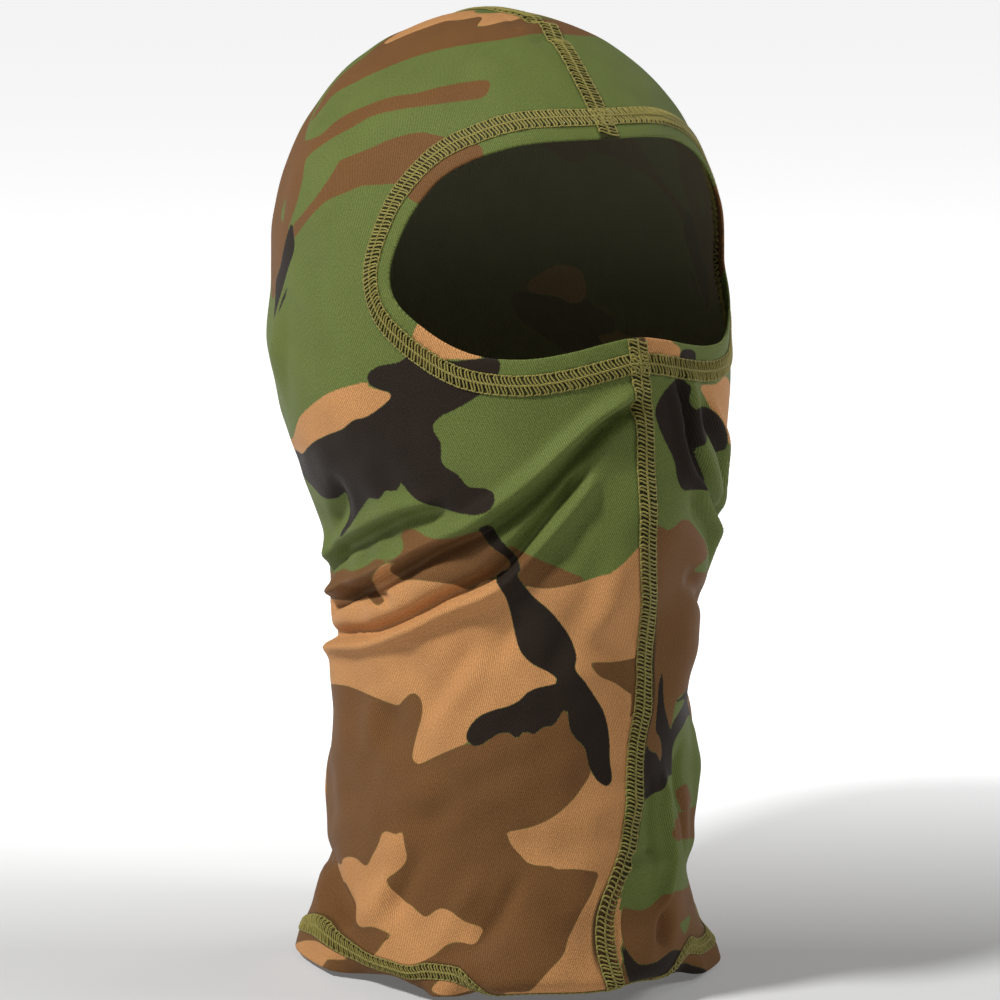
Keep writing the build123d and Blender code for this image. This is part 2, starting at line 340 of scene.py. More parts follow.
def cloth(angle, run, bumps=True):
    """The outer face's point and normal, and the place on the form, for a place on the cloth.

    Without bumps it is the plain form, with the neck hem's course and curl only.
    """
    angle, run = np.asarray(angle, float), np.asarray(run, float)
    wrapped = (angle + 180) % 360 - 180
    wrapped = np.where((wrapped == -180) & (angle > 0), 180, wrapped)
    roll = np.clip(ROLL(wrapped), 0.001, 1)
    bend, edge = roll / CURL, np.maximum(EDGE(wrapped), 0)
    turning = HEM + 7 * roll**2  # where up the cloth the curl starts
    fall = np.sin(np.minimum(bend * turning, np.pi / 2)) / bend
    shift = (1 - roll) * BAND(wrapped) + roll * (edge + fall - turning)
    stretch = (1 - roll) * (turning + shift - edge) / turning + roll
    up = np.maximum(run, turning)
    place = up + shift * (1 - smooth((up - turning) / HEM_EASE))
    turned = np.maximum(turning - run, 0) * stretch
    arc = bend * turned
    lean = wrapped + SWAY(run) * np.exp(-((wrapped / SWAY_REACH) ** 2))
    point, normal, along = form_frame(lean, place)
    point = point - along * (np.sin(arc) / bend)[..., None] - normal * ((1 - np.cos(arc)) / bend)[..., None]
    normal = normal * np.cos(arc)[..., None] - along * np.sin(arc)[..., None]
    place = place - turned
    if bumps:
        height = relief(lean, place)
        height = np.where(turned > 0, height * (1 - 0.75 * roll * smooth(turned / 6)), height)
        # stitched layers: the two hems and the seams stand a little proud, the rims are round
        d = opening_distance(lean, place)[0]
        height = height + 0.45 * smooth((FACE_TURNING - d) / 1.6) - dents(d, FACE_DENTS)
        height = height + 0.4 * smooth((NECK_TURNING - run) / 1.6) - dents(run, NECK_DENTS)
        seam = smooth(SEAM_HALF - from_seam(point, wrapped, run)) * near_middle(wrapped, run)
        height = height + 0.3 * seam
        point = point + normal * height[..., None]
    return point, normal, lean, place


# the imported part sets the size, and the sections above only the shape
low_l, high_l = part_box("left_panel")
low_r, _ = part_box("right_panel")
plain = form(*(g.ravel() for g in np.meshgrid(np.linspace(-180, 180, 361), np.linspace(0, POLE, 400))))
across, deep = np.ptp(plain[:, 0]), np.ptp(plain[:, 1])
SCALE = np.array([(high_l.x - low_r.x) / across, (high_l.y - low_l.y) / deep, high_l.z / plain[:, 2].max()])
START = np.array([0, low_l.y - plain[:, 1].min() * SCALE[1], 0])


def metres(points):
    return points * SCALE + START


# ---- the print
GREEN, TAN, BROWN, BLACK = range(4)
# The wearer's right, painted in this order; each patch is a closed outline
RIGHT_PRINT = (
    (TAN, (
        (8, 157), (-12, 158), (-22, 155), (-40, 156), (-60, 153), (-73, 153), (-82, 142), (-95, 136),
        (-120, 131), (-129, 118), (-121, 104), (-134, 92), (-125, 70), (-132, 50), (-124, 30),
        (-134, -8), (8, -8))),
    (BROWN, (
        (-126, 138), (-105, 140.5), (-100, 142), (-94, 144), (-88, 145), (-84, 147), (-80, 150),
        (-77, 153), (-71, 155), (-67, 160), (-67, 165), (-63, 167.5), (-59, 166), (-53, 167), (-50, 168),
        (-46, 170), (-43, 171), (-36, 165), (-33, 164), (-30, 162), (-26, 160), (-22, 158), (-19, 156),
        (-24, 154), (-30, 152.5), (-36, 153), (-43, 154), (-47, 152), (-50, 149), (-55, 150), (-65, 149),
        (-70, 147.5), (-73, 149), (-72, 152), (-70, 154), (-74, 152.5), (-79, 146), (-81, 142),
        (-82, 140), (-77, 139), (-76, 137.5), (-78, 136), (-84, 137), (-88, 134), (-92, 132),
        (-100, 131), (-113, 129.5), (-126, 128))),
    (BROWN, (
        (-126, 96), (-118, 97), (-110, 98.5), (-104, 100), (-97, 101.5), (-90, 102.5), (-80, 102.5),
        (-71, 102), (-69, 104), (-67, 107), (-65, 108), (-63, 106), (-62.5, 101), (-63.5, 95),
        (-64.5, 88), (-64.5, 85), (-63, 83.5), (-61, 84.5), (-57, 88), (-50, 93.5), (-46, 95.5),
        (-42, 99), (-30, 103), (-22, 111), (-19, 103), (-15, 96), (-12.5, 88), (-15, 82), (-18, 77),
        (-23, 71.5), (-29, 67.5), (-35.5, 65), (-36, 64), (-34.5, 60), (-32, 57), (-30, 54.5),
        (-27, 53.5), (-23, 53.5), (-21, 52.5), (-15, 52.5), (-8.5, 51), (-8.5, 49), (-10, 44), (-13, 38),
        (-15, 33), (-17, 28), (-18, 23), (-22, 17.5), (-25, 13), (-28, 10.5), (-34, 9), (-40, -6),
        (-138, -6), (-127, 14), (-136, 32), (-124, 56), (-131, 80))),
    (BROWN, (
        (-15, 126.5), (-8, 126.5), (-2, 127), (4, 127), (4, 113), (0, 114), (-3, 116), (-7, 119),
        (-12, 121.5), (-15, 125))),
    (TAN, (
        (-98, 36), (-93, 37), (-90, 37.5), (-89, 40), (-86, 42), (-83, 42.5), (-79, 41.5), (-77, 46),
        (-75, 51), (-74, 55), (-72, 56.5), (-69, 56.5), (-67, 58), (-66, 53.5), (-65, 49.5), (-66, 46),
        (-69, 42), (-71, 40), (-70, 37.5), (-67, 35.5), (-64, 33.5), (-62, 33), (-59, 31), (-57, 30.5),
        (-55, 33), (-53, 34.5), (-50, 34), (-46, 31.5), (-41, 30), (-41.5, 27), (-43, 24), (-47, 24),
        (-50, 22.5), (-53, 18.5), (-56, 15.5), (-60, 12), (-64, 9), (-72, 9), (-72, 11.5), (-70, 15),
        (-68, 19), (-66, 21), (-72, 22), (-76, 20.5), (-78, 21), (-80, 24), (-83, 25), (-85, 29),
        (-87, 31.5), (-89, 31.5), (-92, 30.5), (-95, 33))),
    (TAN, ((-110, 0), (-103, 5), (-97, 7.5), (-90, 9), (-80, 8), (-86, 4.5), (-90, 0))),
    (TAN, ((-53, 5), (-52, 8.5), (-49, 11), (-45, 9), (-43, 7), (-47, 5))),
    (BLACK, (
        (-42, 173), (-39.5, 168), (-37, 163), (-36, 159.5), (-37, 156), (-35, 152), (-33, 149),
        (-29, 145), (-26, 141), (-23, 136.5), (-21, 132), (-20, 128), (-20, 124), (-17, 120), (-13, 114),
        (-10, 109), (-8, 103), (-7, 97), (-6.5, 91), (-5.5, 86), (-5.5, 83.5), (-7, 82), (-10, 84),
        (-12, 87), (-13.5, 90.5), (-15, 96), (-18, 99.5), (-20, 103), (-21, 108), (-22, 110), (-23, 108),
        (-25, 104), (-28, 103), (-30, 100.5), (-33, 101), (-35, 98.5), (-37, 100), (-40, 99.5),
        (-43, 96.5), (-45, 94.5), (-47, 94), (-49, 96), (-48.5, 100), (-46, 104.5), (-42, 107.5),
        (-38, 109.5), (-35, 112), (-33, 115), (-30, 117), (-27, 118), (-25, 119), (-25.5, 121),
        (-28, 123), (-32, 125), (-35, 128), (-36.5, 131), (-37.5, 135), (-39, 142), (-40.5, 148),
        (-43, 154), (-41, 157), (-38.5, 159), (-40, 163), (-42, 165), (-44, 168), (-45, 171))),
    (BLACK, (
        (-54, 229), (-45, 228), (-38, 229.5), (-34, 229), (-34, 225), (-37, 219), (-43, 213), (-48, 209),
        (-50, 205), (-48.5, 200), (-49, 193), (-46, 190), (-44, 186), (-41, 186), (-38.5, 185),
        (-38.5, 182), (-41, 178.5), (-46, 176.5), (-52, 177), (-58, 179), (-60, 181), (-61.5, 184),
        (-63, 181.5), (-65, 180.5), (-67, 180), (-70, 176.5), (-73, 176), (-75, 174), (-79, 169),
        (-84, 162), (-88, 158), (-86, 164), (-85, 170), (-84, 174), (-88, 171), (-94, 171), (-100, 173),
        (-108, 175), (-118, 177), (-122, 184), (-110, 184.5), (-104, 185), (-97, 186), (-91, 189),
        (-86, 193), (-80, 197), (-75, 200), (-71, 204), (-67, 206), (-62, 211), (-60, 215), (-63, 216),
        (-66, 217.5), (-66, 221), (-63, 224), (-58, 226))),
    (TAN, (
        (-125, 187), (-112, 188), (-104, 190), (-97, 194), (-91, 200), (-85, 206), (-78, 212),
        (-71, 216), (-66, 218), (-66, 216.5), (-60, 215), (-62, 211), (-67, 206), (-71, 204), (-75, 200),
        (-80, 197), (-86, 193), (-91, 189), (-97, 186), (-104, 185), (-125, 184))),
    (TAN, (
        (-52, 240), (-54, 237), (-54.5, 229), (-51, 226), (-46, 228.5), (-38, 229.5), (-38, 234),
        (-46, 240))),
    (TAN, (
        (2, 366), (2, 380), (-60, 377), (-125, 383), (-118, 350), (-100, 345), (-60, 360), (-20, 362))),
    (BROWN, (
        (2, 357), (-12, 354.5), (-30, 351), (-48, 347.5), (-60, 344), (-72, 339), (-84, 331), (-95, 323),
        (-103, 316), (-107, 308), (-112, 305), (-116, 325), (-110, 338), (-103, 346), (-97, 354),
        (-91, 358.5), (-82, 365), (-70, 366.5), (-58, 370), (-52, 371.5), (-47, 369), (-47.5, 361),
        (-40, 362), (-28, 365.5), (-14, 369), (2, 370))),
    (BROWN, (
        (-37, 328), (-45, 327), (-55, 324), (-62, 321), (-70, 319), (-78, 315), (-86, 310), (-91, 305),
        (-95, 300), (-103, 297), (-111, 295.5), (-124, 294), (-126, 262), (-118, 246), (-111, 238),
        (-104, 246), (-99, 258), (-98, 265), (-103, 265.5), (-107, 268), (-107, 273), (-103, 283),
        (-98, 291), (-90, 298), (-82, 304), (-75, 310), (-66, 313.5), (-58, 315.5), (-48, 318),
        (-39, 320), (-36.5, 324))),
    (BROWN, (
        (-57, 305), (-50, 304), (-44, 303), (-38, 300), (-40, 290), (-48, 282), (-55, 280), (-60, 285.5),
        (-66, 285), (-71, 284), (-76, 281), (-82, 277.5), (-87, 272), (-91, 267), (-95, 262), (-99, 258),
        (-100, 264), (-96, 267), (-92, 271), (-87, 278), (-84, 284), (-82, 289), (-81, 292), (-76, 295),
        (-71, 298), (-65, 302))),
    (BLACK, (
        (-97, 267), (-95, 263), (-94.5, 258), (-97, 252), (-100, 245), (-104, 236), (-105, 231),
        (-107, 238), (-108, 245), (-104, 250), (-101, 257), (-99, 264))),
    (BLACK, ((-97, 245), (-98, 242), (-101, 236.5), (-102.5, 234.5), (-101, 239), (-98, 244))),
)
LEFT_PRINT = (
    (TAN, (
        (-6, 238), (2, 236), (8, 235), (13, 232), (15, 229), (14, 224), (8, 228), (2, 229), (-6, 230))),
    (BLACK, ((15, 230), (20, 229), (20, 225), (14, 226))),
    (TAN, (
        (22, 217), (30, 216), (38, 217), (46, 212), (50, 208), (49, 200), (42, 194), (38, 194),
        (33, 200), (27, 208), (24, 213))),
    (BLACK, (
        (13, 221), (9, 218), (6, 214), (5, 210), (6.5, 204), (9, 198), (11, 193), (12, 187), (14, 183.5),
        (18, 182.5), (23, 182), (29, 180), (27, 184), (22, 190), (18, 197), (22, 196.5), (25, 200),
        (25, 204), (22, 206), (19, 209), (17, 213), (18, 217), (16, 219))),
    (BLACK, ((19, 209), (24, 209.5), (28, 207), (33, 201), (38, 192), (34, 192), (28, 199), (22, 205))),
    (BROWN, (
        (-8, 172), (8, 171), (14, 173.5), (20, 171), (28, 165.5), (33, 161), (34, 157), (28, 153),
        (40, 150), (54, 149), (66, 142), (58, 134), (67, 126), (60, 114), (44, 109), (22, 110), (19, 98),
        (14.5, 86), (7, 94), (4, 84), (-3, 80), (-8, 84))),
    (BLACK, (
        (12, 120), (13, 117), (14, 110), (16, 104), (19, 98), (20, 101), (25, 105), (27, 106.5),
        (24, 108), (20, 108), (24, 110), (30, 111), (38, 110), (46, 109), (54, 105), (62, 108),
        (68, 103), (63, 97), (55, 99), (46, 95.5), (38, 97.5), (30, 97), (24, 94.5), (22, 91), (23, 86),
        (26, 80), (22, 80.5), (19, 80), (17, 77), (12, 76.5), (8, 75), (5, 76.5), (5, 84), (6.5, 90),
        (7.5, 95), (9, 92.5), (12, 91), (14, 88), (14.5, 86.5), (15, 91), (13.5, 96), (11, 100),
        (11, 108), (11, 116))),
    (BROWN, (
        (22, 60), (25, 63), (32, 63.5), (40, 63), (50, 60), (60, 56), (60, 46), (48, 49), (40, 51.5),
        (32, 54), (25, 56))),
    (BROWN, ((30, 72), (34, 74), (37, 70), (40, 65), (34, 64))),
    (BROWN, (
        (-8, 35.5), (8, 35), (14, 36.5), (19, 38.5), (30, 36), (42, 33), (65, 27), (68, -8), (-8, -8))),
    (BLACK, (
        (0, 25), (3, 20), (6, 16.5), (12, 16), (20, 17.5), (26, 15.5), (28, 13), (20, 9), (12, 9.5),
        (3, 10))),
    (BLACK, ((18, 8), (30, 8), (36, 6), (42, 0), (34, -4), (22, 2))),
    (GREEN, ((26, 25), (33, 25), (37, 24), (31, 20), (28, 22))),
    (BROWN, (
        (-6, 357), (8, 355), (20, 354), (32, 353), (50, 350), (62, 342), (72, 334), (78, 342), (70, 352),
        (58, 362), (44, 366), (30, 370), (14, 372), (-6, 373))),
    (BROWN, ((58, 312), (70, 300), (80, 292), (84, 276), (78, 262), (74, 276), (66, 290), (58, 300))),
)


DEEP = 5.0  # mm; how far inside or outside its outline a patch is measured
NOWHERE = 999.0  # degrees


def paint(fields, angle, run, patches):
    x = angle * PER_DEGREE
    for colour, outline in patches:
        line = rounded(outline, 4) * (PER_DEGREE, 1)
        low, high = line.min(0) - DEEP, line.max(0) + DEEP
        here = (x > low[0]) & (x < high[0]) & (run > low[1]) & (run < high[1])
        if not here.any():
            continue
        depth = np.full(x.shape, -DEEP)
        depth[here] = np.clip(near_line(x[here], run[here], line, True)[0], -DEEP, DEEP)
        for k in range(3):
            fields[k] = np.maximum(fields[k], depth) if k + 1 == colour else np.minimum(fields[k], -depth)


def print_at(angle, run):
    """How deep a place is in the tan, brown and black print, in mm. Elsewhere it is green."""
    fields = [np.full(angle.shape, -DEEP) for _ in range(3)]
    # the cloth is cut by hand, so the far side doesn't repeat it exactly
    far = smooth((np.abs(angle) - 112) / 12)
    wander = angle + far * (5 * np.sin(run / 11) + 3 * np.sin(run / 6.3 + 1))
    right = angle < 0
    # the pattern comes round twice, once to each panel; nothing is printed as far out as NOWHERE
    paint(fields, np.where(right, wander + 180, NOWHERE), run, LEFT_PRINT)
    paint(fields, np.where(right, NOWHERE, wander - 180), run, RIGHT_PRINT)
    paint(fields, np.where(right, wander, NOWHERE), run, RIGHT_PRINT)
    paint(fields, np.where(right, NOWHERE, wander), run, LEFT_PRINT)
    return fields


# ---- panels
# where the camera stands: heading and height in degrees, distance in metres
AZIMUTH, ELEVATION, DISTANCE = math.radians(-28.0), math.radians(9.8), 1.3
VIEWER = np.array([math.sin(AZIMUTH) * math.cos(ELEVATION), -math.cos(AZIMUTH) * math.cos(ELEVATION),
                   math.sin(ELEVATION)])
THICK, TURNED = 0.5, 0.55  # mm of one layer of cloth, and what a turned-in hem adds


def spread(start, end, step):
    return np.linspace(start, end, max(2, int(round((end - start) / step)) + 1))


def attach(mesh, label, values):
    """Numbers for the material to read, one or three to a vertex."""
    kind, key = ("FLOAT", "value") if values.ndim == 1 else ("FLOAT_VECTOR", "vector")
    mesh.attributes.new(label, kind, "POINT").data.foreach_set(key, values.astype(np.float32).ravel())


def add_piece(name, mesh):
    piece = bpy.data.objects.new(name, mesh)
    bpy.context.scene.collection.objects.link(piece)
    return piece


def panel_grid(sign):
    """A grid over one side, cut along the face edge: angles, runs, mm from that edge, and faces."""
    columns = np.concatenate([spread(0, 118, 0.97)[:-1], spread(118, 180, 1.5)])
    rows = np.concatenate([spread(0, HEM, 1.0)[:-1], spread(HEM, 112, 1.65)[:-1],
                           spread(112, 226, 1.3)[:-1], spread(226, POLE, 1.65)])
    nc, nr = len(columns), len(rows)
    angle, run = (g.copy() for g in np.meshgrid(sign * columns, rows))
    lean = cloth(angle, run, bumps=False)[2]
    d, edge_angle, edge_run = opening_distance(lean, run)
    # what lies almost on the edge moves onto it
    edge = np.abs(d) < 0.5
    angle[edge] = angle[edge] + (edge_angle - lean)[edge]
    run[edge] = edge_run[edge]
    angle[edge[:, 0], 0] = 0
    d[edge] = 0
    angle, run, d = list(angle.ravel()), list(run.ravel()), list(d.ravel())
    faces, cuts = [], {}
    pole = (nr - 1) * nc

    def cut(i, j):
        key = (min(i, j), max(i, j))
        if key not in cuts:
            t = d[i] / (d[i] - d[j])
            angle.append(angle[i] + t * (angle[j] - angle[i]))
            run.append(run[i] + t * (run[j] - run[i]))
            d.append(0.0)
            cuts[key] = len(angle) - 1
        return cuts[key]

    def trimmed(quad):
        """What is left of a quad outside the opening."""
        if min(d[v] for v in quad) >= 0:
            return quad if max(d[v] for v in quad) > 0 else []
        kept = []
        for v, w in zip(quad, quad[1:] + quad[:1]):
            if d[v] >= 0:
                kept.append(v)
            if d[v] * d[w] < 0:
                kept.append(cut(v, w))
        return kept if max(d[v] for v in quad) > 0 and len(kept) > 2 else []

    for r in range(nr - 1):
        for c in range(nc - 1):
            quad = [r * nc + c, r * nc + c + 1, (r + 1) * nc + c + 1, (r + 1) * nc + c]
            if r == nr - 2:
                quad = [quad[0], quad[1], pole]
            if sign < 0:
                quad.reverse()
            if 200 < rows[r] < 335 and columns[c] < 90:
                quad = trimmed(quad)
            if quad:
                faces.append(quad)
    used = sorted({v for f in faces for v in f})
    number = {v: k for k, v in enumerate(used)}
    return (*(np.array(x)[used] for x in (angle, run, d)), [[number[v] for v in f] for f in faces])


def off_the_edge(flat_point, angle, run, lean, place, on_face, on_neck):
    """At the face and neck edges, the way that points off the cloth."""
    step = 0.4
    further, higher = angle.copy(), run.copy()
    higher[on_neck] += step
    g, a, m = scale_across(lean[on_face], place[on_face]), lean[on_face], place[on_face]
    aside = opening_distance(a + 0.3 / g, m)[0] - opening_distance(a - 0.3 / g, m)[0]
    rise = opening_distance(a, m + 0.3)[0] - opening_distance(a, m - 0.3)[0]
    size = np.hypot(aside, rise) + 1e-9
    further[on_face] += step * aside / size / g
    higher[on_face] += step * rise / size
    return unit(flat_point - cloth(further, higher, bumps=False)[0])


def sheet_faces(faces, n, arcs, on_face, on_neck):
    """The outer face, the inner one, n vertices later, and what closes the two along their edges."""
    ways = {(u, v): 1 for f in faces for u, v in zip(f, f[1:] + f[:1])}
    closing = []
    for u, v in [e for e in ways if (e[1], e[0]) not in ways]:
        from_u, from_v = [u] + arcs.get(u, []) + [u + n], [v] + arcs.get(v, []) + [v + n]
        round_rim = on_face[u] and on_face[v] or on_neck[u] and on_neck[v]
        if round_rim and len(from_u) == len(from_v) == 5:
            closing += [[from_v[k], from_u[k], from_u[k + 1], from_v[k + 1]] for k in range(4)]
        else:
            closing.append([from_v[0]] + from_u + from_v[:0:-1])
    halves = [[f[0], f[k], f[k + 1]] for f in faces for k in range(1, len(f) - 1)]
    return halves + [[v + n for v in f[::-1]] for f in halves] + closing


def print_shift(point, flat_point, flat_normal, run, lean, place):
    """Degrees and mm that the print is carried, towards the viewer, where the folds stand proud."""
    proud = ((point - flat_point) * flat_normal).sum(-1) * smooth((run - 20) / 15)
    facing = flat_normal @ VIEWER
    amount = proud * smooth((facing - 0.35) / 0.3) / np.maximum(facing, 0.35)
    slide = (flat_normal * facing[:, None] - VIEWER) * amount[:, None]
    across = form(lean + 0.1, place) - form(lean - 0.1, place)
    along = form(lean, place + 0.1) - form(lean, place - 0.1)
    gap = np.linalg.norm(across, axis=-1) / 0.2
    return (slide * unit(across)).sum(-1) / np.maximum(gap, 0.3), (slide * unit(along)).sum(-1)


def stitched(point, angle, run, away):
    """Where the cloth lies under stitching, from 0 to 1: the mask of the painted shade there."""
    sewn = smooth((SEAM_HALF - from_seam(point, angle, run)) / 0.8) * near_middle(angle, run)
    sewn = np.maximum(sewn, smooth((HEM_HALF - np.abs(away - FACE_LINE)) / 0.8))
    return np.maximum(sewn, smooth((HEM_HALF - np.abs(run - NECK_LINE)) / 0.8))


def make_panel(name, sign):
    """One side's panel: outer face, inner face, round rims at the face and neck, flat seam edges."""
    angle, run, d, faces = panel_grid(sign)
    n = len(angle)
    point, normal, lean, place = cloth(angle, run)
    flat_point, flat_normal, _, _ = cloth(angle, run, bumps=False)
    away = opening_distance(lean, place)[0]
    hem = np.maximum(1 - smooth((away - 12.2) / 0.8), 1 - smooth((run - 15) / 0.8))
    thick = THICK + TURNED * hem
    on_face, on_neck = d == 0, run < 1e-6
    towards = off_the_edge(flat_point, angle, run, lean, place, on_face, on_neck)
    # outer face, inner face, then three rows round each rim
    rims = np.flatnonzero(on_face | on_neck)
    order = np.concatenate([np.arange(n), np.arange(n)] + [rims] * 3)
    points, arcs = [point, point - normal * thick[:, None]], {}
    for k, turn in enumerate((0.25 * math.pi, 0.5 * math.pi, 0.75 * math.pi)):
        h = thick[rims, None] / 2
        off, down = h * math.sin(turn), h * (1 - math.cos(turn))
        points.append(point[rims] + towards[rims] * off - normal[rims] * down)
        for q, v in enumerate(rims):
            arcs.setdefault(int(v), []).append(2 * n + k * len(rims) + q)
    mesh = bpy.data.meshes.new(name)
    mesh.from_pydata(metres(np.vstack(points)).tolist(), [], sheet_faces(faces, n, arcs, on_face, on_neck))
    mesh.validate()
    mesh.shade_smooth()
    sideways, upward = print_shift(point, flat_point, flat_normal, run, lean, place)
    fields = print_at((lean + sideways)[order], (place + upward)[order])
    for label, values in zip(("tan", "brown", "black"), fields):
        attach(mesh, label, values)
    inside = np.zeros(len(order))
    inside[n:2 * n] = hem <= 0.5  # a hem shows the outer side of its cloth inside too
    attach(mesh, "inside", inside)
    # the mask of the painted shade under the stitching
    attach(mesh, "sewn", stitched(point, angle, run, away)[order])
    attach(mesh, "cloth", np.stack([lean[order] * PER_DEGREE, place[order], np.zeros(len(order))], -1))
    return add_piece(name, mesh)


# ---- stitching
SEAM_RUNG, HEM_RUNG, THREAD = 1.36, 1.3, 0.34
LINES = 3.0  # a seam's outer needle lines stand this far from its middle
NECK_GAP, FACE_GAP = 0.8, 0.1  # mm that a seam's stitching ends short of those edges
LEAN = 0.34  # mm that a rung falls along the seam for each mm across it
KINDS = ("needle_threads", "cover_thread", "looper_thread")


def seam_place(lateral, run, back):
    """The place on the cloth at a distance across from a centre seam, over the crown too."""
    across = lateral / WIDTH(np.minimum(run, BRIM))
    climb = np.clip((run - BRIM) / CROWN_RISE, 0, np.pi / 2)
    up = np.arcsin(np.sin(climb) / np.sqrt(1 + across**2))
    angle = np.degrees(np.arctan2(across, np.cos(climb) * np.where(back, -1, 1) + 1e-12))
    return angle, np.where(run > BRIM, BRIM + CROWN_RISE * up, run)


def make_tubes(name, lines):
    """One piece of thread from lines of (points, normals, radius)."""
    sides = 5
    points, faces, lengths, total = [], [], [], 0
    for path, normal, radius in lines:
        n = len(path)
        tangent = unit(np.gradient(path, axis=0))
        right = unit(np.cross(tangent, normal))
        up = np.cross(right, tangent)
        turn = np.arange(sides) * 2 * np.pi / sides
        c, s = np.cos(turn)[None, :, None], np.sin(turn)[None, :, None]
        ring = path[:, None] + radius * (c * up[:, None] + s * right[:, None])
        points.append(ring.reshape(-1, 3))
        run = np.concatenate([[0], np.cumsum(np.linalg.norm(np.diff(path, axis=0), axis=1))])
        chance = np.full(n * sides, rng.uniform(0, 9))
        lengths.append(np.stack([np.repeat(run, sides), np.tile(turn / (2 * np.pi), n), chance], -1))
        k = np.arange(n - 1)[:, None] * sides
        j = np.arange(sides)[None]
        after = (j + 1) % sides
        f = np.stack([k + j, k + after, k + sides + after, k + sides + j], -1).reshape(-1, 4) + total
        faces += f.tolist() + [[total + q for q in reversed(range(sides))]]
        faces.append([total + (n - 1) * sides + q for q in range(sides)])
        total += n * sides
    mesh = bpy.data.meshes.new(name)
    mesh.from_pydata(metres(np.vstack(points)).tolist(), [], faces)
    mesh.polygons.foreach_set("use_smooth", [True] * len(mesh.polygons))
    attach(mesh, "thread", np.vstack(lengths))
    return add_piece(name, mesh)


def stitch(name, place_of, length, rung, depth=0.5):
    """The needle, cover and looper threads of one line of stitching.

    place_of(along, across) is in mm, and gives a place on the cloth.
    """
    count = int(round(length / rung / 2)) * 2
    rung = length / count
    drift = rng.normal(0, 0.09, count + 2)
    uneven = rng.normal(0, 0.10, count + 2)

    def laid(along, across, height):
        point, normal, _, _ = cloth(*place_of(np.clip(along, 0, length), across))
        return point + normal * np.asarray(height)[..., None], normal

    def loose(beat, values):
        return np.interp(beat, np.arange(count + 2), values)

    needles = []
    for line in (-LINES, 0, LINES):
        beat = np.linspace(0, count, count * 8 + 1)
        wave = np.abs(np.sin(np.pi * beat))
        # the outer lines loop round each rung, so their edge is scalloped
        scallop = 0.22 * np.sign(line) * wave if line else 0.16 * np.sin(2 * np.pi * beat)
        side = line * 1.03 + scallop + loose(beat, uneven) * 0.7
        path, normal = laid((beat + 0.5) * rung - LEAN * side, side, -0.02 + (0.3 if line else 0.5) * wave)
        needles.append((path, normal, THREAD * (0.75 if line else 0.85)))
    # the cover thread goes across and back, with a rung for each crossing
    ticks = np.arange(20) / 20
    ticks = ticks - 0.115 * np.sin(2 * np.pi * ticks)
    beat = np.append((np.arange(count)[:, None] + ticks).ravel(), count)
    swing = np.cos(np.pi * beat)
    lateral = LINES * 1.07 * np.tanh(3.4 * swing) / math.tanh(3.4)
    lean_over = 0.3 * np.sin(2 * np.pi * lateral / LINES) - LEAN * lateral
    arch = np.abs(np.sin(np.pi * lateral / LINES))
    across = lateral + loose(beat, uneven) * 0.5
    path, normal = laid(beat * rung + lean_over + loose(beat, drift), across, 0.2 + 0.26 * arch)
    cover = [(path, normal, THREAD)]
    beat = np.linspace(0, count, count * 8 + 1)
    lateral = LINES * 0.98 * np.tanh(2 * np.cos(np.pi * beat))
    path, normal = laid(beat * rung, lateral, -depth - 0.34)
    looper = [(path, -normal, THREAD)]
    return [make_tubes(f"{name}_{kind}", lines) for kind, lines in zip(KINDS, (needles, cover, looper))]


def centre_place(start):
    """Along a centre seam: up the front from start, or over the crown and down the back."""
    def at(along, across):
        run = start + along
        over = run > POLE
        return seam_place(across, np.where(over, 2 * POLE - run, run), over)

    return at


def edge_places(away):
    """Round the face, away from its edge: the length, and the place at a distance along and across."""
    loop = np.vstack([OPENING, OPENING[:1]])
    g = scale_across(loop[:, 0], loop[:, 1])
    tangent = (np.roll(OPENING, -1, 0) - np.roll(OPENING, 1, 0)) * np.stack([g[:-1], np.ones(len(g) - 1)], -1)
    tangent = unit(tangent)
    outward = np.stack([-tangent[:, 1], tangent[:, 0]], -1)
    if ((OPENING - (0, OPENING_MIDDLE)) * outward).sum() < 0:
        outward = -outward
    outward = np.vstack([outward, outward[:1]])
    line = loop + away * outward / np.stack([g, np.ones(len(g))], -1)
    steps = np.hypot(np.diff(line[:, 0]) * 0.5 * (g[1:] + g[:-1]), np.diff(line[:, 1]))
    mark = np.concatenate([[0], np.cumsum(steps)])

    def at(along, across):
        columns = (loop[:, 0], loop[:, 1], g, outward[:, 0], outward[:, 1])
        a, m, gg, aside, rise = (np.interp(along % mark[-1], mark, v) for v in columns)
        return a + (away + across) * aside / gg, m + (away + across) * rise

    return mark[-1], at


def neck_places(away):
    """Round the neck, as edge_places does round the face."""
    marks = np.linspace(-180, 180, 721)
    g = scale_across(marks, np.full(len(marks), away))
    length = np.concatenate([[0], np.cumsum(0.5 * (g[1:] + g[:-1]) * (marks[1] - marks[0]))])

    def at(along, across):
        return np.interp(along % length[-1], length, marks), away + across

    return length[-1], at


# ---- materials
def material(name):
    made = bpy.data.materials.new(name)
    made.use_nodes = True
    return made, made.node_tree, made.node_tree.nodes["Principled BSDF"]


def math_node(tree, operation, a, b=None, c=None, clamp=False):
    made = tree.nodes.new("ShaderNodeMath")
    made.operation, made.use_clamp = operation, clamp
    for k, value in enumerate((a, b, c)):
        if value is None:
            continue
        if isinstance(value, (int, float)):
            made.inputs[k].default_value = value
        else:
            tree.links.new(value, made.inputs[k])
    return made.outputs[0]


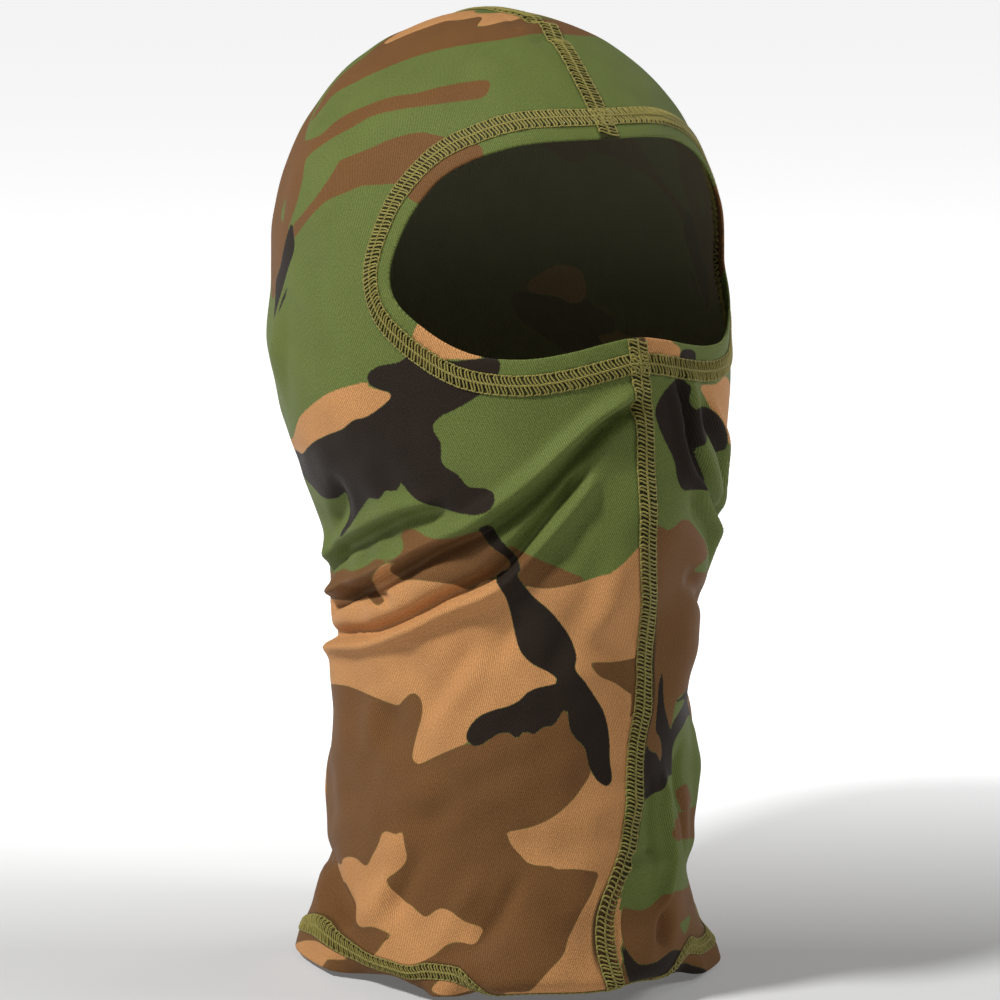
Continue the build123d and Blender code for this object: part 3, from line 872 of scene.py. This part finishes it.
def mix_colour(tree, fac, a, b, kind="MIX"):
    made = tree.nodes.new("ShaderNodeMix")
    made.data_type, made.blend_type = "RGBA", kind
    for socket, value in ((made.inputs[0], fac), (made.inputs[6], a), (made.inputs[7], b)):
        if isinstance(value, (int, float)):
            socket.default_value = value
        elif isinstance(value, tuple):
            socket.default_value = (*value, 1)
        else:
            tree.links.new(value, socket)
    return made.outputs[2]


def noise(tree, vector, scale, detail=2.0, rough=0.5):
    made = tree.nodes.new("ShaderNodeTexNoise")
    made.inputs["Scale"].default_value = scale
    made.inputs["Detail"].default_value = detail
    made.inputs["Roughness"].default_value = rough
    tree.links.new(vector, made.inputs["Vector"])
    return made.outputs[0]


def vector_node(tree, operation, value, by=None):
    """A vector scaled by a socket, its dot product with a constant, or its length."""
    made = tree.nodes.new("ShaderNodeVectorMath")
    made.operation = operation
    tree.links.new(value, made.inputs[0])
    if operation == "SCALE":
        tree.links.new(by, made.inputs["Scale"])
        return made.outputs[0]
    if by:
        made.inputs[1].default_value = by
    return made.outputs["Value"]


def split_node(tree, vector):
    made = tree.nodes.new("ShaderNodeSeparateXYZ")
    tree.links.new(vector, made.inputs[0])
    return made.outputs


def weighted(tree, axes, across, along):
    """So much of a place's first axis and so much of its second."""
    first, second = math_node(tree, "MULTIPLY", axes[0], across), math_node(tree, "MULTIPLY", axes[1], along)
    return math_node(tree, "ADD", first, second)


def relief_node(tree, shader, height, metres_high):
    """Raise the surface a little by height."""
    made = tree.nodes.new("ShaderNodeBump")
    made.inputs["Strength"].default_value = 0.5
    made.inputs["Distance"].default_value = metres_high
    tree.links.new(height, made.inputs["Height"])
    tree.links.new(made.outputs[0], shader.inputs["Normal"])


def attribute(tree, name, vector=False):
    made = tree.nodes.new("ShaderNodeAttribute")
    made.attribute_name = name
    return made.outputs["Vector" if vector else "Fac"]


def srgb(r, g, b):
    return tuple(((v / 255 + 0.055) / 1.055) ** 2.4 if v > 10 else v / 255 / 12.92 for v in (r, g, b))


GREEN_INK, TAN_INK = srgb(97, 109, 54), srgb(190, 137, 86)
BROWN_INK, BLACK_INK = srgb(112, 77, 43), srgb(38, 29, 22)
SHADED_CLOTH, BARE_YARN = srgb(36, 34, 13), srgb(176, 172, 152)  # painted shade under the stitching, and the unprinted yarn
DARK_THREAD, PALE_THREAD = srgb(84, 76, 20), srgb(176, 164, 74)
RIB, COURSE, TWIST = (2 * math.pi / pitch for pitch in (0.74, 0.55, 0.55))  # radians to a mm


def camo_knit():
    made, tree, shader = material("camo_knit")
    flat = attribute(tree, "cloth", vector=True)
    axes = split_node(tree, flat)
    wobble = math_node(tree, "MULTIPLY", math_node(tree, "SUBTRACT", noise(tree, flat, 0.9, 2.0), 0.5), 0.8)
    colour = None
    for label, ink in (("tan", TAN_INK), ("brown", BROWN_INK), ("black", BLACK_INK)):
        depth = math_node(tree, "ADD", attribute(tree, label), wobble)
        fac = math_node(tree, "MULTIPLY_ADD", depth, 2.2, 0.5, clamp=True)
        colour = mix_colour(tree, fac, colour if colour else GREEN_INK, ink)
    # painted shade: the print under the stitching is darkened towards SHADED_CLOTH, as the threads would
    # shade it
    sewn = math_node(tree, "MULTIPLY", attribute(tree, "sewn"), 0.85)
    colour = mix_colour(tree, sewn, colour, SHADED_CLOTH)
    # the yarn takes the ink unevenly: fine specks, and broad faint blotches
    speck = math_node(tree, "MULTIPLY_ADD", noise(tree, flat, 1.6, 3.0, 0.85), 1.7, 0.15)
    blotch = math_node(tree, "MULTIPLY_ADD", noise(tree, flat, 0.05, 2.0), 0.24, 0.88)
    level = math_node(tree, "MULTIPLY", speck, blotch)
    # knit ribs run steeply across the cloth
    rib = math_node(tree, "SINE", weighted(tree, axes, RIB * 0.92, RIB * 0.39))
    course = math_node(tree, "SINE", weighted(tree, axes, COURSE * 0.3, COURSE * 0.95))
    loop = math_node(tree, "MULTIPLY", rib, math_node(tree, "MULTIPLY_ADD", course, 0.35, 0.65))
    level = math_node(tree, "MULTIPLY", level, math_node(tree, "MULTIPLY_ADD", loop, 0.36, 0.93))
    bright = vector_node(tree, "SCALE", colour, level)
    back = mix_colour(tree, 0.55, bright, BARE_YARN)
    shown = mix_colour(tree, attribute(tree, "inside"), bright, back)
    tree.links.new(shown, shader.inputs["Base Color"])
    fuzz = math_node(tree, "MULTIPLY_ADD", noise(tree, flat, 2.4, 2.0, 0.6), 0.7, 0.0)
    relief_node(tree, shader, math_node(tree, "ADD", loop, fuzz), 0.00009)
    shader.inputs["Roughness"].default_value = 0.62
    shader.inputs["Specular IOR Level"].default_value = 0.1
    shader.inputs["Sheen Weight"].default_value = 0.015
    shader.inputs["Sheen Roughness"].default_value = 0.5
    return made


def olive_thread():
    made, tree, shader = material("olive_thread")
    thread = attribute(tree, "thread", vector=True)
    twist = math_node(tree, "SINE", weighted(tree, split_node(tree, thread), TWIST, 4 * math.pi))
    tone = math_node(tree, "MULTIPLY_ADD", noise(tree, thread, 0.6, 2.0), 0.7, 0.15, clamp=True)
    colour = mix_colour(tree, tone, DARK_THREAD, PALE_THREAD)
    shade = vector_node(tree, "SCALE", colour, math_node(tree, "MULTIPLY_ADD", twist, 0.1, 0.95))
    tree.links.new(shade, shader.inputs["Base Color"])
    relief_node(tree, shader, twist, 0.00006)
    shader.inputs["Roughness"].default_value = 0.55
    shader.inputs["Specular IOR Level"].default_value = 0.4
    shader.inputs["Sheen Weight"].default_value = 0.15
    return made


knit, thread = camo_knit(), olive_thread()

# ---- the pieces
panels = [make_panel("right_panel_cloth", -1), make_panel("left_panel_cloth", 1)]
for panel, node_name in zip(panels, ("right_panel", "left_panel")):
    panel.data.materials.append(knit)
    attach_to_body(panel, "root")
    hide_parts(node_name)

face_length, face_at = edge_places(FACE_LINE)
neck_length, neck_at = neck_places(NECK_LINE)
low_edge, high_edge = OPENING_HALF[-1][1], OPENING_HALF[0][1]
groups = {
    "front_seam": stitch("front_seam", centre_place(NECK_GAP), low_edge - NECK_GAP - FACE_GAP, SEAM_RUNG),
    "crown_seam": stitch("crown_seam", centre_place(high_edge + FACE_GAP),
                         2 * POLE - high_edge - NECK_GAP - FACE_GAP, SEAM_RUNG),
    "face_hem": stitch("face_hem", face_at, face_length, HEM_RUNG, depth=1.0),
    "neck_hem": stitch("neck_hem", neck_at, neck_length, HEM_RUNG, depth=1.0),
}
for group, pieces in groups.items():
    for piece, kind in zip(pieces, KINDS):
        piece.name = f"{group}_{kind}_sewn"
        piece.data.materials.append(thread)
        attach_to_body(piece, "root")
        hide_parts(f"{group}_{kind}")


def face_area(piece):
    return sum(p.area for p in piece.data.polygons) / 2


# ---- studio
HALF_FLOOR, BEHIND = 60, (0.47, 0.88, 0)  # metres, and the way that runs off behind the mask


def paper():
    """White paper that glows away from the mask, and sooner behind it, so that it runs out into white."""
    made, tree, shader = material("paper")
    shader.inputs["Base Color"].default_value = (0.56, 0.56, 0.56, 1)
    shader.inputs["Roughness"].default_value = 0.9
    place = tree.nodes.new("ShaderNodeTexCoord").outputs["Object"]
    far = vector_node(tree, "DOT_PRODUCT", place, BEHIND)
    glow = math_node(tree, "MULTIPLY", math_node(tree, "SUBTRACT", far, -0.06), 2.2)
    around = vector_node(tree, "LENGTH", place)
    ring = math_node(tree, "MULTIPLY", math_node(tree, "SUBTRACT", around, 1.1), 0.6)
    glow = math_node(tree, "MAXIMUM", math_node(tree, "MAXIMUM", glow, ring), 0.12)
    tree.links.new(math_node(tree, "MINIMUM", glow, 0.85), shader.inputs["Emission Strength"])
    shader.inputs["Emission Color"].default_value = (1, 1, 1, 1)
    return made


def lay_floor():
    mesh = bpy.data.meshes.new("floor")
    corners = [(-1, -1), (1, -1), (1, 1), (-1, 1)]
    mesh.from_pydata([(HALF_FLOOR * x, HALF_FLOOR * y, 0) for x, y in corners], [], [(0, 1, 2, 3)])
    floor = add_piece("floor", mesh)
    floor.location.z = -0.0006
    mesh.materials.append(paper())


def studio_sky(overhead=0.02, behind_mask=0.08, horizon=0.5):
    """White along the horizon and behind the mask, dimmer overhead and in front, so that the folds shade."""
    world = bpy.data.worlds.new("studio")
    bpy.context.scene.world = world
    world.use_nodes = True
    sky = world.node_tree
    background = sky.nodes["Background"]
    background.inputs[0].default_value = (1, 1, 1, 1)
    heading = sky.nodes.new("ShaderNodeTexCoord").outputs["Generated"]
    backwards = vector_node(sky, "DOT_PRODUCT", heading, (0.46, 0.88, 0))
    height = math_node(sky, "ABSOLUTE", split_node(sky, heading)[2])
    band = math_node(sky, "SUBTRACT", 1.0, math_node(sky, "MULTIPLY", height, 5.0, clamp=True), clamp=True)
    behind = math_node(sky, "MULTIPLY_ADD", backwards, 0.5, 0.5, clamp=True)
    strength = math_node(sky, "MULTIPLY_ADD", behind, behind_mask, overhead)
    strength = math_node(sky, "ADD", strength, math_node(sky, "MULTIPLY", band, horizon))
    sky.links.new(math_node(sky, "MINIMUM", strength, 1.0), background.inputs[1])


def lamp(name, place, aim, size, power):
    data = bpy.data.lights.new(name, "AREA")
    data.shape, data.size, data.energy = "DISK", size, power
    made = bpy.data.objects.new(name, data)
    bpy.context.scene.collection.objects.link(made)
    made.location = place
    made.rotation_mode = "QUATERNION"
    made.rotation_quaternion = (Vector(aim) - Vector(place)).to_track_quat("-Z", "Y")


lay_floor()
studio_sky()
lamp("key", (-1.6, -0.15, 2.0), (0, 0, 0.17), 0.35, 62)
lamp("fill", (1.6, -1.2, 1.5), (0, 0, 0.17), 0.8, 18)
lamp("rim", (1.9, 0.5, 1.2), (0, 0, 0.2), 0.6, 5)

# ---- camera
back = Vector(VIEWER)
AIM_HEIGHT, SENSOR, LENS = 0.18, 36, 131.04  # metres, mm, mm
data = bpy.data.cameras.new("camera")
data.sensor_width, data.lens = SENSOR, LENS
data.shift_x, data.shift_y = -0.0026, -0.0395
camera = bpy.data.objects.new("camera", data)
bpy.context.scene.collection.objects.link(camera)
camera.location = Vector((0, 0, AIM_HEIGHT)) + back * DISTANCE
camera.rotation_mode = "QUATERNION"
camera.rotation_quaternion = (-back).to_track_quat("-Z", "Y")
bpy.context.scene.camera = camera
bpy.context.scene.view_settings.view_transform = "Standard"

print("AREA", [face_area(p) for p in panels])
